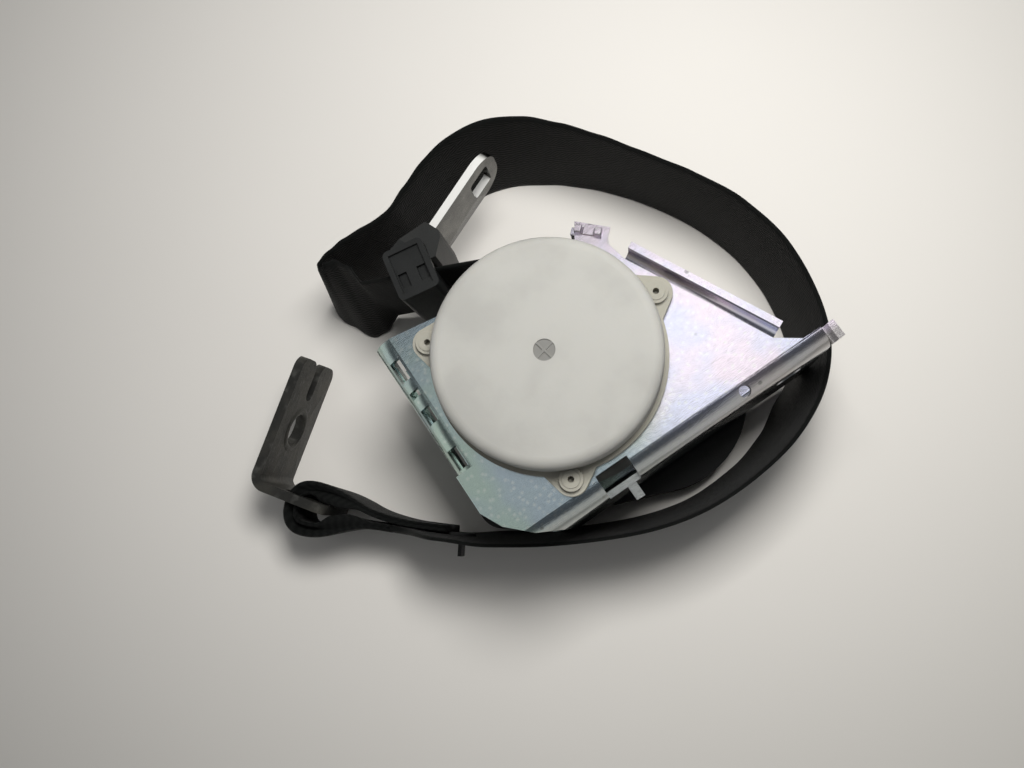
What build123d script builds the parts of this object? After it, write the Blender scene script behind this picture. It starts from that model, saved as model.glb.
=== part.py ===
from build123d import *
import math
import os

os.makedirs("parts", exist_ok=True)

# A seat belt on the bench: the retractor stands on its black mechanism cover, spring side up, and
# its free webbing stands on edge in a loop round it, through the tongue and out to the lower anchor.
# The origin is on the spool axis, on the surface that the cover stands on. +X runs along the
# frame's back wall towards its pointed end, -Y out of that wall, +Z along the spool axis.
# All sizes are in millimetres and all angles in degrees.

# Frame: one folded steel sheet with two side plates and a back wall
sheet = 2.0
bend_inside = 3.8
back_face_y = -41.8
wall_start_x = -24.0
wall_end_x = 66.0
left_face_x = -41.0
left_flange_depth = 16.0
left_flange_y = (-12.6, 32.4)
edge_flange_rise = 5.5
edge_bend_inside = 2.0
side_hole_radius = 12.0
mount_hole_radius = 5.25
mount_hole_x = 54.0
mount_hole_over_webbing = 2.75
wall_corner_radius = 7.0

# Mechanism cover, on the table side
mechanism_cover_height = 14.0
plastic_wall = 2.0
axle_clearance = 0.05
plate_fit_gap = 0.3

# Webbing
webbing_width = 47.0
webbing_thickness = 1.2
roll_radius = 32.0
core_radius = 13.0
webbing_side_gap = 0.15
spool_flange_radius = 34.5
spool_flange_thickness = 1.2
spool_end_clearance = 0.4

# Spool, torsion bar and bushes
hub_radius = 10.0
bush_flange_radius = 14.5
bush_flange_thickness = 1.0
torsion_radius = 4.5
stub_radius = 4.0
ratchet_hub_radius = 7.0

# Locking parts, under the lower side plate
ratchet_tip_radius = 17.0
ratchet_tooth_depth = 2.5
ratchet_teeth = 20
ratchet_thickness = 3.6
disc_tip_radius = 22.0
disc_tooth_depth = 1.5
disc_teeth = 36
disc_thickness = 2.6
disc_floor_gap = 1.2
disc_ratchet_gap = 0.5
pawl_angle = 214.0
pawl_reach = 26.0
pawl_pin_radius = 2.0
pawl_hub_radius = 4.6
pawl_swing = 10.0
pawl_nose_clearance = 1.1
ball_radius = 4.5
ball_x = 28.0
ball_y = -29.0
lever_thickness = 1.2

# Spring side, on the upper side plate
base_lip = 1.3
base_thickness = 3.0
base_floor = 1.5
ear_cover_gap = 0.2
ear_radius = 4.7
ear_angles = (-4.0, -114.0, 138.0)
spring_cover_radius = 32.3
spring_cover_height = 11.4
spring_cover_wall = 1.6
spring_cover_round = 3.2
spring_strip = 0.4
spring_height = 6.5
spring_turns = 9
spring_arbor_gap = 1.0
spring_cover_clearance = 0.4
arbor_radius = 7.4
pin_radius = 1.8
pin_head_radius = 2.5

# Tongue. It hangs upright on the sloping webbing, turned from square to it.
blade_thickness = 2.6
blade_width = 22.0
blade_length = 43.0
blade_bend = 57.9
blade_end_round = 8.5
blade_above_slot = 6.7
tongue_turn = 20.3
tongue_on_strand = 41.2
tongue_bar = 3.4
tongue_shoulder = 3.0
tongue_end_bar = 1.6
grip_half_thickness = 6.6
grip_skin = 1.6
grip_end_wall = 3.6
mouth_clearance = 0.25
mouth_lining = 0.5
flange_to_slope = 2.6

# Lower anchor plate
anchor_thickness = 3.2
anchor_corner = (-106.9, 31.4)
anchor_angle = 35.5
anchor_leg = 47.4
anchor_short_leg = 28.0
anchor_bend_outside = 5.5
anchor_hole_radius = 5.5
anchor_hole_along = 22.7
anchor_slot = (11.5, 19.0)
anchor_slot_margin = 2.5
anchor_slot_clearance = 0.75
fork_start = 36.0
fork_gap = 5.0

# What a cutting block reaches past the face that it cuts
overreach = 1.0

# Widths and radii that follow from the webbing and the spring cover
side_gap = webbing_width + 2 * (webbing_side_gap + spool_flange_thickness + spool_end_clearance)
mount_hole_z = webbing_width + mount_hole_over_webbing + mount_hole_radius
anchor_width = webbing_width / 2 + 2 * (anchor_slot_margin + anchor_slot_clearance)
base_radius = spring_cover_radius + base_lip
ear_centre_radius = spring_cover_radius + pin_head_radius + ear_cover_gap

# Heights of the stacked pieces, from the table up
lower_plate_z = mechanism_cover_height
lower_plate_top = lower_plate_z + sheet
upper_plate_z = lower_plate_top + side_gap
upper_plate_top = upper_plate_z + sheet
mid_z = (lower_plate_top + upper_plate_z) / 2
bend_outside = bend_inside + sheet


def save(node, shape):
    """Write one named piece."""
    export_step(shape, "parts/" + node + ".step")
    return shape


def prism(points, z_low, z_high):
    """An upright block on a plan outline of straight sides."""
    return extrude(make_face(Polyline(*points, close=True)), z_high - z_low).moved(Pos(0, 0, z_low))


def disc(radius, z_low, z_high, x=0.0, y=0.0):
    """An upright round block."""
    return Pos(x, y, (z_low + z_high) / 2) * Cylinder(radius, z_high - z_low)


def block(x, y, z):
    """A block between pairs of x, y and z."""
    size = Box(x[1] - x[0], y[1] - y[0], z[1] - z[0])
    return Pos((x[0] + x[1]) / 2, (y[0] + y[1]) / 2, (z[0] + z[1]) / 2) * size


def polar(radius, angle):
    """A plan point at a radius and an angle."""
    return (radius * math.cos(math.radians(angle)), radius * math.sin(math.radians(angle)))


def hull_block(circles, z_low, z_high):
    """An upright block on the tight outline round several plan circles, given as (x, y, radius)."""
    edges = [Pos(x, y) * CenterArc((0, 0), radius, 0, 360) for x, y, radius in circles]
    return extrude(make_hull(edges), z_high - z_low).moved(Pos(0, 0, z_low))


# Frame plan outlines. The pointed end carries the long edge flange and the tip hook.
edge_start = (37.6, 13.0)
edge_end = (57.5, -29.5)
edge_length = math.dist(edge_start, edge_end)
edge_along = ((edge_end[0] - edge_start[0]) / edge_length, (edge_end[1] - edge_start[1]) / edge_length)
edge_out = (-edge_along[1], edge_along[0])
edge_bend_outside = edge_bend_inside + sheet


def inside_edge(point):
    """The plan point where the sheet starts to turn up to the long edge flange."""
    return (point[0] - edge_bend_outside * edge_out[0], point[1] - edge_bend_outside * edge_out[1])


left_flat_x = left_face_x + bend_outside
tie_centre = (30.2, 24.2)
tie_angle = -46.0
tie_width = 8.0
tie_thickness = 2.4
tie_stand_up = 2.4
tab_corners = [(25.2, 24.0), (28.7, 29.2), (36.0, 21.6), (32.6, 18.4)]
tip_inner_y = -36.5
tip_neck = (61.0, tip_inner_y)
lower_edge = [(34.0, 12.0), (45.0, -20.0), (50.0, -33.0), (50.0, back_face_y)]
left_corner = [(wall_start_x, back_face_y), (-31.0, -38.2), (-37.8, -31.5), (left_face_x, -25.0)]
left_side = left_corner + [(left_face_x, left_flange_y[0]), (left_flat_x, left_flange_y[0]),
                           (left_flat_x, left_flange_y[1]), (-19.0, 29.4), (8.0, 27.5)]
upper_outline = left_side + tab_corners + [inside_edge(edge_start), inside_edge(edge_end), tip_neck,
                                           (wall_end_x, tip_inner_y), (wall_end_x, back_face_y)]
lower_outline = left_side + tab_corners + lower_edge


def channel():
    """The C section of side plates and back wall, with rounded bends."""
    reach = 80.0
    outer = Pos(0, back_face_y + reach / 2, (lower_plate_z + upper_plate_top) / 2)
    outer = outer * Box(2 * reach, reach, upper_plate_top - lower_plate_z)
    back_edges = outer.edges().filter_by(Axis.X).sort_by(Axis.Y)[:2]
    outer = fillet(back_edges, bend_outside)
    inner = Pos(0, back_face_y + sheet + reach / 2, mid_z) * Box(2 * reach, reach, side_gap)
    inner_edges = inner.edges().filter_by(Axis.X).sort_by(Axis.Y)[:2]
    return outer - fillet(inner_edges, bend_inside)


def left_flange(z_plate, down):
    """A short flange turned off a side plate's left edge, towards the roll's middle."""
    length = left_flange_y[1] - left_flange_y[0]
    middle_y = (left_flange_y[0] + left_flange_y[1]) / 2
    corner = (Align.MIN, Align.CENTER, Align.MAX)
    flange = Box(bend_outside, length, left_flange_depth, align=corner)
    bend_edge = flange.edges().filter_by(Axis.Y).sort_by(Axis.X)[:2].sort_by(Axis.Z)[-1:]
    flange = fillet(bend_edge, bend_outside - 0.01)
    hollow = Pos(sheet, 0, -sheet) * Box(bend_outside, length, left_flange_depth, align=corner)
    bend_edge = hollow.edges().filter_by(Axis.Y).sort_by(Axis.X)[:2].sort_by(Axis.Z)[-1:]
    flange = flange - fillet(bend_edge, bend_inside)
    if not down:
        flange = mirror(flange, Plane.XY)
    return flange.moved(Pos(left_face_x, middle_y, z_plate))


def edge_flange():
    """The long flange turned up along the pointed end, as one rolled section."""
    centre_z = upper_plate_z + edge_bend_outside
    rise = upper_plate_top + edge_flange_rise - centre_z
    ring = Cylinder(edge_bend_outside, edge_length) - Cylinder(edge_bend_inside, edge_length)
    keep = Box(edge_bend_outside, edge_bend_outside, edge_length,
               align=(Align.MIN, Align.MAX, Align.CENTER))
    wall = Box(sheet, rise, edge_length, align=(Align.MIN, Align.MIN, Align.CENTER))
    section = (ring & keep) + Pos(edge_bend_inside, 0, 0) * wall
    start = inside_edge(edge_start)
    end = inside_edge(edge_end)
    middle = ((start[0] + end[0]) / 2, (start[1] + end[1]) / 2, centre_z)
    seat = Plane(origin=middle, x_dir=(*edge_out, 0), z_dir=(*edge_along, 0))
    return seat.location * section


def tie_slot():
    """The upright strap's cross-section, as a block through both side plates."""
    strap = Box(tie_width, tie_thickness, 2 * (upper_plate_top + tie_stand_up))
    return Pos(*tie_centre) * Rot(0, 0, tie_angle) * strap


def wall_bore(radius, x, z):
    """A round cutter through the back wall."""
    return Pos(x, back_face_y, z) * Rot(90, 0, 0) * Cylinder(radius, 6 * sheet)


# Holes along the left bend, punched before the sheet is folded, as (start y, end y)
bend_holes = [(19.0, 26.0), (13.2, 15.4), (4.1, 9.3), (-11.6, -5.0)]
bend_hole_x = (left_face_x + 1.6, left_face_x + 5.0)
bend_hole_drop = 9.0
window_x = (-8.5, 2.0)
window_plate_y = -34.8
window_drop = 9.0
stub_x = (-2.6, 0.2)
stub_reach = 4.6
stub_drop = 9.5
stub_height = 3.0
relief_x = 39.0
relief_radius = 1.7
relief_inset = 3.0
relief_depth = 6.0
tip_hook_length = 3.0
tip_hook_rise = 3.4

frame = channel()
wall_keep = block((wall_start_x, wall_end_x), (back_face_y, back_face_y + bend_outside),
                  (lower_plate_z, upper_plate_top))
upper_keep = prism(upper_outline, mid_z, upper_plate_top)
lower_keep = prism(lower_outline, lower_plate_z, mid_z)
frame = (frame & (upper_keep + lower_keep)) + (frame & wall_keep)
frame = frame + left_flange(upper_plate_top, True) + left_flange(lower_plate_z, False)
frame = frame + edge_flange()
hook_end_x = wall_end_x + tip_hook_length
hook_y = (back_face_y, tip_inner_y)
frame = frame + block((wall_end_x, hook_end_x), hook_y, (upper_plate_z, upper_plate_top))
frame = frame + block((hook_end_x - sheet, hook_end_x), hook_y,
                      (upper_plate_z, upper_plate_top + tip_hook_rise))
corner_x = wall_end_x - wall_corner_radius
corner_z = lower_plate_z + wall_corner_radius
end_cut = block((corner_x, wall_end_x + overreach),
                (back_face_y - overreach, back_face_y + bend_outside + overreach),
                (lower_plate_z - overreach, corner_z))
frame = frame - (end_cut - wall_bore(wall_corner_radius, corner_x, corner_z))
frame = frame - disc(side_hole_radius, 0, 2 * upper_plate_top)
plate_cut_top = upper_plate_top + overreach
for hole_y in bend_holes:
    frame = frame - block(bend_hole_x, hole_y, (upper_plate_top - bend_hole_drop, plate_cut_top))
frame = frame - block(window_x, (back_face_y - overreach, window_plate_y),
                      (upper_plate_top - window_drop, plate_cut_top))
stub_z = upper_plate_top - stub_drop
frame = frame + block(stub_x, (back_face_y - stub_reach, back_face_y + sheet), (stub_z - stub_height, stub_z))
frame = frame - disc(relief_radius, upper_plate_z - relief_depth, plate_cut_top, relief_x,
                     back_face_y + relief_inset)
frame = frame - wall_bore(mount_hole_radius, mount_hole_x, mount_hole_z)
frame = frame - tie_slot()
pin_points = [polar(ear_centre_radius, angle) for angle in ear_angles]
for x, y in pin_points:
    frame = frame - disc(pin_radius, upper_plate_z - overreach, plate_cut_top, x, y)
pawl_point = polar(pawl_reach, pawl_angle)
frame = frame - disc(pawl_pin_radius, lower_plate_z - overreach, lower_plate_top + overreach, *pawl_point)
cover_screw_points = [(-27.2, 12.0), (4.0, -35.6), (30.5, 4.0)]
screw_radius = 1.5
for x, y in cover_screw_points:
    frame = frame - disc(screw_radius, lower_plate_z - overreach, lower_plate_top + overreach, x, y)
save("frame", frame)

# Tie strap: flat steel bar between the side plates, its ends staked in slots
tie_shoulder = 1.4
stake_wall = 2.2
stake_depth = 1.9
tie_bar = tie_slot() & disc(tie_centre[0] + tie_centre[1], lower_plate_z, upper_plate_top + tie_stand_up)
shoulder = Box(tie_width + 2 * tie_shoulder, tie_thickness, side_gap)
tie_bar = tie_bar + Pos(*tie_centre, mid_z) * Rot(0, 0, tie_angle) * shoulder
stake_notch = Box(tie_width - 2 * stake_wall, 2 * tie_thickness, 2 * stake_depth)
tie_bar = tie_bar - Pos(*tie_centre, upper_plate_top + tie_stand_up) * Rot(0, 0, tie_angle) * stake_notch
save("tie_bar", tie_bar)

# Mechanism cover: black moulded tray under the lower side plate, with the sensor's round lobe
cover_circles = [(0.0, 0.0, 34.6), (21.0, -20.5, 31.0), (-40.0, -20.5, 8.6)]
lobe_roof = 1.6
foot_chamfer = 1.2
axle_cup_wall = 2.2
axle_cup_gap = 0.3
axle_hole_depth = 1.0
boss_radius = 3.6
screw_head_radius = 3.0
screw_head_depth = 1.8
screw_head_sink = 0.3
screw_head_gap = 0.2
drive_slot = (4.0, 0.9, 1.6)


def cover_body(inset, z_low, z_high):
    """The cover's plan, drawn in by an inset."""
    return hull_block([(x, y, radius - inset) for x, y, radius in cover_circles], z_low, z_high)


mechanism_cover = cover_body(0.0, 0.0, mechanism_cover_height)
mechanism_cover = chamfer(mechanism_cover.edges().group_by(Axis.Z)[0], foot_chamfer)
roof_low = mechanism_cover_height - lobe_roof
open_top = cover_body(plastic_wall, roof_low - overreach, mechanism_cover_height + overreach)
open_top = open_top & prism(lower_outline, 0, mechanism_cover_height + 2 * overreach)
mechanism_cover = mechanism_cover - cover_body(plastic_wall, plastic_wall, roof_low) - open_top
axle_cup_top = plastic_wall + disc_floor_gap - axle_cup_gap
mechanism_cover = mechanism_cover + disc(stub_radius + axle_cup_wall, plastic_wall, axle_cup_top)
axle_hole = disc(stub_radius + axle_clearance, axle_hole_depth, mechanism_cover_height)
mechanism_cover = mechanism_cover - axle_hole
bore_top = mechanism_cover_height + overreach
for x, y in cover_screw_points:
    mechanism_cover = mechanism_cover + disc(boss_radius, plastic_wall / 2, mechanism_cover_height, x, y)
    mechanism_cover = mechanism_cover - disc(screw_radius, -overreach, bore_top, x, y)
    mechanism_cover = mechanism_cover - disc(screw_head_radius, -overreach, screw_head_depth, x, y)
save("mechanism_cover", mechanism_cover)

# Three screws hold the mechanism cover to the lower side plate
cover_screws = []
for x, y in cover_screw_points:
    screw = disc(screw_head_radius - screw_head_gap, screw_head_sink, screw_head_depth, x, y)
    screw = screw + disc(screw_radius, screw_head_depth / 2, lower_plate_top, x, y)
    for turn in (0, 90):
        screw = screw - Pos(x, y, screw_head_sink) * Rot(0, 0, turn) * Box(*drive_slot)
    cover_screws.append(screw)
save("cover_screws", Compound(children=cover_screws))

# Bushes: flanged acetal rings pressed into both side plates
bush_bore = disc(hub_radius + axle_clearance, 0, 2 * upper_plate_top)
bush_upper = disc(side_hole_radius, upper_plate_z, upper_plate_top)
bush_upper = bush_upper + disc(bush_flange_radius, upper_plate_top, upper_plate_top + bush_flange_thickness)
save("upper_bush", bush_upper - bush_bore)
bush_lower = disc(side_hole_radius, lower_plate_z, lower_plate_top)
bush_lower = bush_lower + disc(bush_flange_radius, lower_plate_z - bush_flange_thickness, lower_plate_z)
save("lower_bush", bush_lower - bush_bore)

# Spool: moulded core with two flanges and a hub at each end, bored for the torsion bar
hub_inset = 0.2
roll_low = mid_z - webbing_width / 2
roll_high = mid_z + webbing_width / 2
drum_low = roll_low - webbing_side_gap
drum_high = roll_high + webbing_side_gap
hub_low = lower_plate_z - bush_flange_thickness + hub_inset
hub_high = upper_plate_top + bush_flange_thickness - hub_inset
spool = disc(core_radius, drum_low, drum_high)
spool = spool + disc(spool_flange_radius, drum_low - spool_flange_thickness, drum_low)
spool = spool + disc(spool_flange_radius, drum_high, drum_high + spool_flange_thickness)
spool = spool + disc(hub_radius, hub_low, hub_high)
spool = spool - disc(torsion_radius + axle_clearance, drum_low, drum_high)
spool = spool - disc(stub_radius + axle_clearance, hub_low - overreach, hub_high + overreach)
save("spool", spool)

# Torsion bar: the steel shaft inside the spool that joins it to the ratchet wheel
cover_over_arbor = 4.0
bar_over_arbor = 1.7
bar_foot = 0.6
arbor_top_z = upper_plate_top + base_thickness + spring_cover_height - cover_over_arbor
bar_top_z = arbor_top_z + bar_over_arbor
torsion_bar = disc(torsion_radius, drum_low, drum_high)
torsion_bar = torsion_bar + disc(stub_radius, plastic_wall - bar_foot, bar_top_z)
save("torsion_bar", torsion_bar)

# Wound webbing on the spool
webbing_roll = disc(roll_radius, roll_low, roll_high)
webbing_roll = webbing_roll - disc(core_radius, roll_low - overreach, roll_high + overreach)
save("webbing_roll", webbing_roll)


def saw_wheel(tip_radius, depth, teeth, z_low, z_high, turn=0.0):
    """A wheel of saw teeth: each rises along a radius and falls back to the next root."""
    pitch = 360 / teeth
    crest_fall = 0.15 * depth
    crest_turn = 0.12 * pitch
    points = []
    for tooth in range(teeth):
        start = turn + tooth * pitch
        points.append(polar(tip_radius - depth, start))
        points.append(polar(tip_radius, start))
        points.append(polar(tip_radius - crest_fall, start + crest_turn))
    return prism(points, z_low, z_high)


# Control disc: light moulded wheel with fine teeth, which lags behind the spool when it is jerked
disc_first_tooth = 3.0
disc_bore_gap = 0.1
disc_web_drop = 1.0
disc_web_radii = (7.5, 17.0)
disc_low = plastic_wall + disc_floor_gap
disc_high = disc_low + disc_thickness
control_disc = saw_wheel(disc_tip_radius, disc_tooth_depth, disc_teeth, disc_low, disc_high, disc_first_tooth)
control_disc = control_disc - disc(stub_radius + disc_bore_gap, 0, mechanism_cover_height)
web_low = disc_high - disc_web_drop
web_cut = disc(disc_web_radii[1], web_low, mechanism_cover_height)
control_disc = control_disc - (web_cut - disc(disc_web_radii[0], 0, mechanism_cover_height))
save("control_disc", control_disc)

# Ratchet wheel: hardened steel, keyed to the torsion bar
ratchet_low = disc_high + disc_ratchet_gap
ratchet_high = ratchet_low + ratchet_thickness
ratchet_wheel = saw_wheel(ratchet_tip_radius, ratchet_tooth_depth, ratchet_teeth, ratchet_low, ratchet_high)
ratchet_wheel = ratchet_wheel + disc(ratchet_hub_radius, ratchet_low, hub_low)
ratchet_wheel = ratchet_wheel - disc(stub_radius, 0, lower_plate_top)
save("ratchet_wheel", ratchet_wheel)

# Locking pawl: drawn with its nose in a tooth gap, then swung back to rest about its pin. Its outline
# is set out from the ratchet wheel's root and tip circles, and it closes at the pin.
nose_angle = 250.4
nose_back_rise = 0.9
nose_face_rise = 0.9
nose_shoulder_rise = 3.4
nose_outer_rise = 6.0
arm_inner_rise = 1.9
pawl_side_gap = 0.2
nose_radius = ratchet_tip_radius - ratchet_tooth_depth + pawl_nose_clearance
pawl_plan = [
    polar(nose_radius, nose_angle),
    polar(ratchet_tip_radius + nose_face_rise, nose_angle),
    polar(ratchet_tip_radius + nose_shoulder_rise, nose_angle + 4.0),
    polar(ratchet_tip_radius + nose_outer_rise, nose_angle - 4.0),
    pawl_point,
    polar(ratchet_tip_radius + arm_inner_rise, nose_angle - 17.0),
    polar(nose_radius + nose_back_rise, nose_angle - 11.0),
]
pawl_low = ratchet_low + pawl_side_gap
pawl_high = ratchet_high - pawl_side_gap
locking_pawl = prism(pawl_plan, pawl_low, pawl_high) + disc(pawl_hub_radius, pawl_low, pawl_high, *pawl_point)
pawl_bore_radius = pawl_pin_radius + axle_clearance
locking_pawl = locking_pawl - disc(pawl_bore_radius, pawl_low - overreach, pawl_high + overreach, *pawl_point)
to_rest = Pos(*pawl_point) * Rot(0, 0, -pawl_swing) * Pos(-pawl_point[0], -pawl_point[1])
save("locking_pawl", to_rest * locking_pawl)

# Pawl pin: headed steel pin riveted in the lower side plate
pin_head_gap = 0.3
pin_head_height = 1.0
pin_head_rim = 1.0
head_top = pawl_low - pin_head_gap
pawl_pin = disc(pawl_pin_radius, head_top, lower_plate_top, *pawl_point)
pawl_pin = pawl_pin + disc(pawl_pin_radius + pin_head_rim, head_top - pin_head_height, head_top, *pawl_point)
save("pawl_pin", pawl_pin)

# Pawl spring: a short wire spring coiled round the pin above the pawl
wire_radius = 0.35
coil_rim = 0.9
coil_gap = 0.45
coil_pitch = 0.8855
coil_turns = 1.0
coil = Helix(coil_pitch, coil_turns * coil_pitch, pawl_pin_radius + coil_rim)
pawl_spring = sweep((coil ^ 0) * Circle(wire_radius), path=coil)
save("pawl_spring", pawl_spring.moved(Pos(*pawl_point, pawl_high + coil_gap + wire_radius)))

# Vehicle sensor: a steel ball in a moulded cup, and the lever that it tips into the control disc
ball_gap = 0.3
cup_reach = 9.0
cup_half = 7.0
cup_lip = 1.0
cup_mouth_half = 5.0
roof_gap = 0.4
pivot_drop = 9.2
pivot_radius = 0.8
bracket_rim = 1.6
bracket_end = 2.2
bracket_height = 1.6
bracket_lap = 0.2
ball_z = plastic_wall + 2 * ball_gap + ball_radius
sensor_low = plastic_wall
sensor_high = mechanism_cover_height - lobe_roof - roof_gap
pivot_x = ball_x - ball_radius - ball_gap - lever_thickness / 2
pivot_y = ball_y - pivot_drop
sensor_housing = block((ball_x - cup_lip, ball_x + cup_reach), (ball_y - cup_half, ball_y + cup_half),
                       (sensor_low, sensor_high))
sensor_housing = sensor_housing - Pos(ball_x, ball_y, ball_z) * Sphere(ball_radius + ball_gap)
sensor_housing = sensor_housing - block((ball_x - 2 * cup_lip, ball_x),
                                        (ball_y - cup_mouth_half, ball_y + cup_mouth_half),
                                        (sensor_low - overreach, sensor_high + overreach))
sensor_housing = sensor_housing + block((pivot_x - bracket_rim, ball_x + cup_reach),
                                        (pivot_y - bracket_end, ball_y - cup_half + bracket_lap),
                                        (sensor_low, sensor_low + bracket_height))
sensor_housing = sensor_housing + disc(pivot_radius, sensor_low, sensor_high, pivot_x, pivot_y)
save("sensor_housing", sensor_housing)
save("sensor_ball", Pos(ball_x, ball_y, ball_z) * Sphere(ball_radius))

# Sensor lever: a thin moulding beside the ball, with a finger just clear of the control disc's teeth
lever_foot_gap = 2.0
lever_head_gap = 0.6
lever_past_ball = 5.6
finger_root = 2.4
finger_inset = 0.1
finger_gap = 0.7
finger_angle = -36.4
lever_eye_wall = 1.1
lever_low = sensor_low + lever_foot_gap
lever_high = sensor_high - lever_head_gap
lever_x = (pivot_x - lever_thickness / 2, pivot_x + lever_thickness / 2)
lever_end_y = ball_y + lever_past_ball
finger_tip = polar(disc_tip_radius + finger_gap, finger_angle)
sensor_lever = block(lever_x, (pivot_y, lever_end_y), (lever_low, lever_high))
sensor_lever = sensor_lever + disc(pivot_radius + lever_eye_wall, lever_low, lever_high, pivot_x, pivot_y)
sensor_lever = sensor_lever - disc(pivot_radius + axle_clearance, 0, mechanism_cover_height, pivot_x, pivot_y)
finger_plan = [(lever_x[0], lever_end_y - finger_root), (lever_x[1], lever_end_y - finger_root),
               (lever_x[1], lever_end_y), finger_tip]
sensor_lever = sensor_lever + prism(finger_plan, lever_low, disc_high - finger_inset)
save("sensor_lever", sensor_lever)

# Spring base: cream moulded tray on the upper side plate, with three ears for its pins
ear_root_share = 0.55
ear_root_radius = 14.0
base_tray_gap = 0.9
boss_height = 1.6
boss_wall = 0.9
boss_cover_gap = 0.1
pin_head_seat = 0.2
base_low = upper_plate_top
base_high = base_low + base_thickness
cut_top = base_high + spring_cover_height
spring_base = disc(base_radius, base_low, base_high)
for x, y in pin_points:
    ear_circles = [(x, y, ear_radius), (x * ear_root_share, y * ear_root_share, ear_root_radius)]
    spring_base = spring_base + hull_block(ear_circles, base_low, base_high)
tray_radius = spring_cover_radius - spring_cover_wall - base_tray_gap
spring_base = spring_base - disc(tray_radius, base_low + base_floor, cut_top)
spring_base = spring_base - disc(bush_flange_radius + plate_fit_gap, base_low - overreach, cut_top)
cover_room = disc(spring_cover_radius + boss_cover_gap, base_high - overreach, cut_top)
for x, y in pin_points:
    boss = disc(pin_head_radius + boss_wall, base_high, base_high + boss_height, x, y)
    spring_base = spring_base + (boss - cover_room)
    spring_base = spring_base - disc(pin_radius, base_low - overreach, cut_top, x, y)
    spring_base = spring_base - disc(pin_head_radius, base_high - pin_head_seat, cut_top, x, y)
save("spring_base", spring_base)

# Three push pins hold the spring side to the side plate
head_stand_up = 0.3
pin_wall = 0.9
pin_hollow_depth = 1.5
pin_top = base_high + boss_height + head_stand_up
push_pins = []
for x, y in pin_points:
    pin = disc(pin_radius, upper_plate_z, base_high, x, y)
    pin = pin + disc(pin_head_radius, base_high - pin_head_seat, pin_top, x, y)
    pin = pin - disc(pin_radius - pin_wall, base_high - pin_hollow_depth, cut_top, x, y)
    push_pins.append(pin)
save("push_pins", Compound(children=push_pins))

# Spring arbor: the hub that the mainspring hooks to, on the torsion bar's top end
arbor_foot_gap = 0.5
arbor_flat = 1.6
arbor_low = upper_plate_top + bush_flange_thickness + arbor_foot_gap
arbor = disc(arbor_radius, arbor_low, arbor_top_z) - disc(stub_radius, arbor_low - overreach, cut_top)
arbor = arbor - block((0, arbor_radius + overreach), (arbor_radius - arbor_flat, arbor_radius + overreach),
                      (arbor_low - overreach, cut_top))
save("spring_arbor", arbor)

# Mainspring: a clock spring of half turns, each half a pitch wider than the last, between the arbor
# and the cover's inner rim
cover_rim_gap = 1.0
spring_foot_gap = 0.4
cover_rim_inside = spring_cover_radius - 2 * spring_cover_wall - cover_rim_gap
spring_inner_radius = arbor_radius + spring_arbor_gap + spring_strip / 2
spring_outer_radius = cover_rim_inside - spring_cover_clearance - spring_strip / 2
spring_pitch = (spring_outer_radius - spring_inner_radius) / spring_turns
spring_low = base_low + base_floor + spring_foot_gap
spring_high = spring_low + spring_height
mainspring = None
radius = spring_inner_radius
centre_x = 0.0
for half_turn in range(2 * spring_turns):
    ring = disc(radius + spring_strip / 2, spring_low, spring_high)
    ring = ring - disc(radius - spring_strip / 2, spring_low - overreach, spring_high + overreach)
    side = 1 if half_turn % 2 == 0 else -1
    half_y = (0, base_radius) if side > 0 else (-base_radius, 0)
    half = ring & block((-base_radius, base_radius), half_y, (0, cut_top))
    half = half.moved(Pos(centre_x, 0, 0))
    mainspring = half if mainspring is None else mainspring + half
    centre_x = centre_x - side * spring_pitch / 2
    radius = radius + spring_pitch / 2
save("mainspring", mainspring)

# Spring cover: the cream dish that snaps into the base, with a round bearing mark at its centre
rim_height = 1.4
rim_inset = 0.2
spigot_depth = 0.9
mark_radius = 3.0
mark_depth = 0.35
mark_bar = 0.7
mark_angles = (12, 102)
bearing_cup_wall = 1.8
bearing_cup_gap = 0.4
bearing_end_gap = 0.3
cover_high = base_high + spring_cover_height
cover_roof_low = cover_high - spring_cover_wall
spring_cover = disc(spring_cover_radius, base_high, cover_high)
spring_cover = fillet(spring_cover.edges().group_by(Axis.Z)[-1], spring_cover_round)
cover_inside = spring_cover_radius - spring_cover_wall
spring_cover = spring_cover - disc(cover_inside, base_high - overreach, cover_roof_low)
rim = disc(spring_cover_radius - rim_inset, base_high, base_high + rim_height)
rim = rim + disc(cover_inside - cover_rim_gap, base_high - spigot_depth, base_high + rim_height)
spring_cover = spring_cover + (rim - disc(cover_rim_inside, base_low, base_high + 2 * rim_height))
mark = disc(mark_radius, cover_high - mark_depth, cover_high + overreach)
for angle in mark_angles:
    mark = mark - Pos(0, 0, cover_high) * Rot(0, 0, angle) * Box(2 * mark_radius, mark_bar, 2 * overreach)
spring_cover = spring_cover - mark
cup = disc(stub_radius + bearing_cup_wall, arbor_top_z + bearing_cup_gap, cover_roof_low + mark_depth / 2)
cup = cup - disc(stub_radius + axle_clearance, arbor_low, bar_top_z + bearing_end_gap)
save("spring_cover", spring_cover + cup)

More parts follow.
